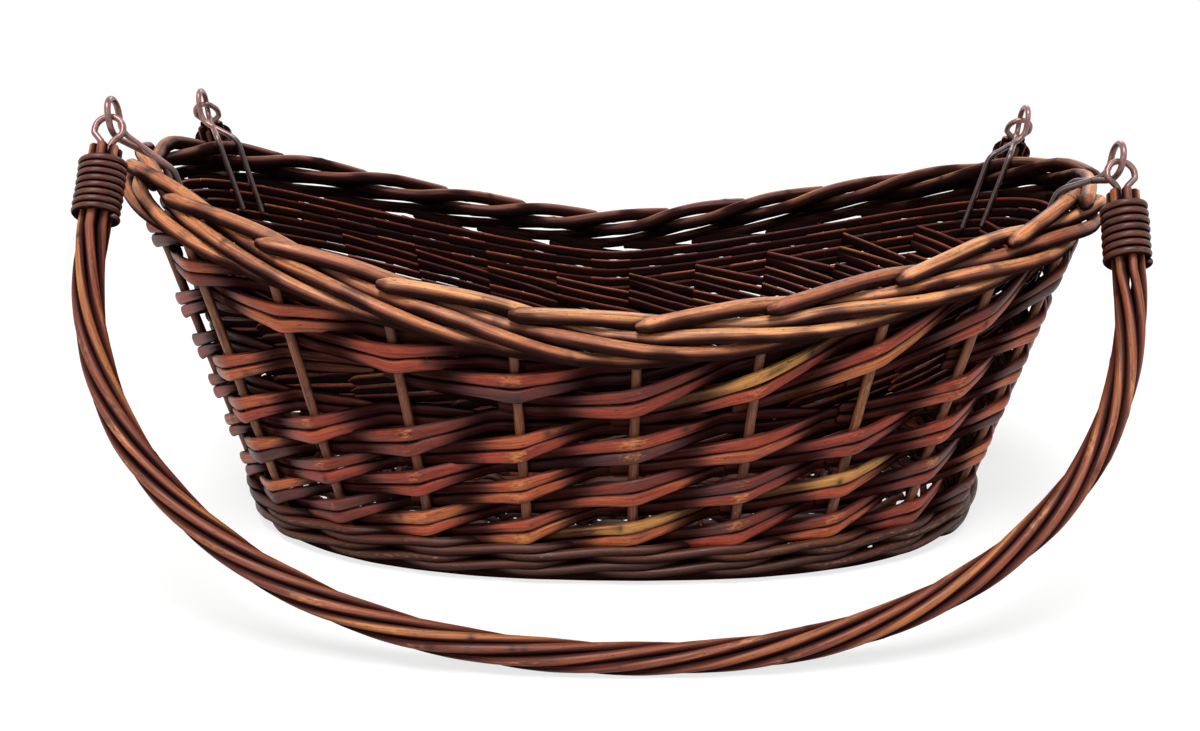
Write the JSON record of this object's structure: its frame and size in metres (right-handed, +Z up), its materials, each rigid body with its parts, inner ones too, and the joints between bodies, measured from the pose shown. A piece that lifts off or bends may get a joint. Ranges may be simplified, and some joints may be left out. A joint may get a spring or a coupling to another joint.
{
  "type": "trug garden basket",
  "caption": "Boat-shaped woven willow basket with a braided rim, an oval woven base and two swinging handles of twisted rods hung on wire loops.",
  "frame": {"origin": "middle of the basket's oval base, on the surface that it stands on", "axes": "+Z up, +X to the basket's right-hand end along its length, -Y to the front, where the pictured handle leans"},
  "size_m": [0.4854, 0.4176, 0.2149],
  "materials": {
    "border_willow": "satin",
    "split_willow": "satin",
    "stake_willow": "satin",
    "foot_willow": "satin",
    "base_willow": "satin",
    "handle_willow": "satin",
    "whipping_withy": "satin",
    "brown_wire": "satin"
  },
  "bodies": {
    "basket": {"base_cross_sticks": "base_willow", "base_laths": "base_willow", "base_rounds": "base_willow", "border_rods_front": "border_willow", "border_rods_left_end": "border_willow", "border_rods_rear": "border_willow", "border_rods_right_end": "border_willow", "foot_ring": "foot_willow", "foot_waling": "foot_willow", "front_left_hairpin": "brown_wire", "front_right_hairpin": "brown_wire", "rear_left_hairpin": "brown_wire", "rear_right_hairpin": "brown_wire", "stakes_front": "stake_willow", "stakes_left_end": "stake_willow", "stakes_rear": "stake_willow", "stakes_right_end": "stake_willow", "wall_packing": "split_willow", "weavers_tier_1": "split_willow", "weavers_tier_2": "split_willow", "weavers_tier_3": "split_willow", "weavers_tier_4": "split_willow", "weavers_tier_5": "split_willow", "weavers_top_tier": "split_willow"},
    "front_handle": {"front_handle_core": "handle_willow", "front_handle_rod_1": "handle_willow", "front_handle_rod_2": "handle_willow", "front_handle_rod_3": "handle_willow", "front_handle_rod_4": "handle_willow", "front_handle_rod_5": "handle_willow", "front_handle_rod_6": "handle_willow", "front_left_eye": "brown_wire", "front_left_whipping": "whipping_withy", "front_right_eye": "brown_wire", "front_right_whipping": "whipping_withy"},
    "rear_handle": {"rear_handle_core": "handle_willow", "rear_handle_rod_1": "handle_willow", "rear_handle_rod_2": "handle_willow", "rear_handle_rod_3": "handle_willow", "rear_handle_rod_4": "handle_willow", "rear_handle_rod_5": "handle_willow", "rear_handle_rod_6": "handle_willow", "rear_left_eye": "brown_wire", "rear_left_whipping": "whipping_withy", "rear_right_eye": "brown_wire", "rear_right_whipping": "whipping_withy"}
  },
  "joints": [
    {"name": "front_handle_swing", "type": "hinge", "parent": "basket", "child": "front_handle", "pos_m": [0, -0.076, 0.198], "axis": [-0.9994, 0, 0.0354], "range_deg": [0, 164]},
    {"name": "rear_handle_swing", "type": "hinge", "parent": "basket", "child": "rear_handle", "pos_m": [0, 0.076, 0.1945], "axis": [0.9999, 0, -0.0111], "range_deg": [0, 162.5]}
  ]
}
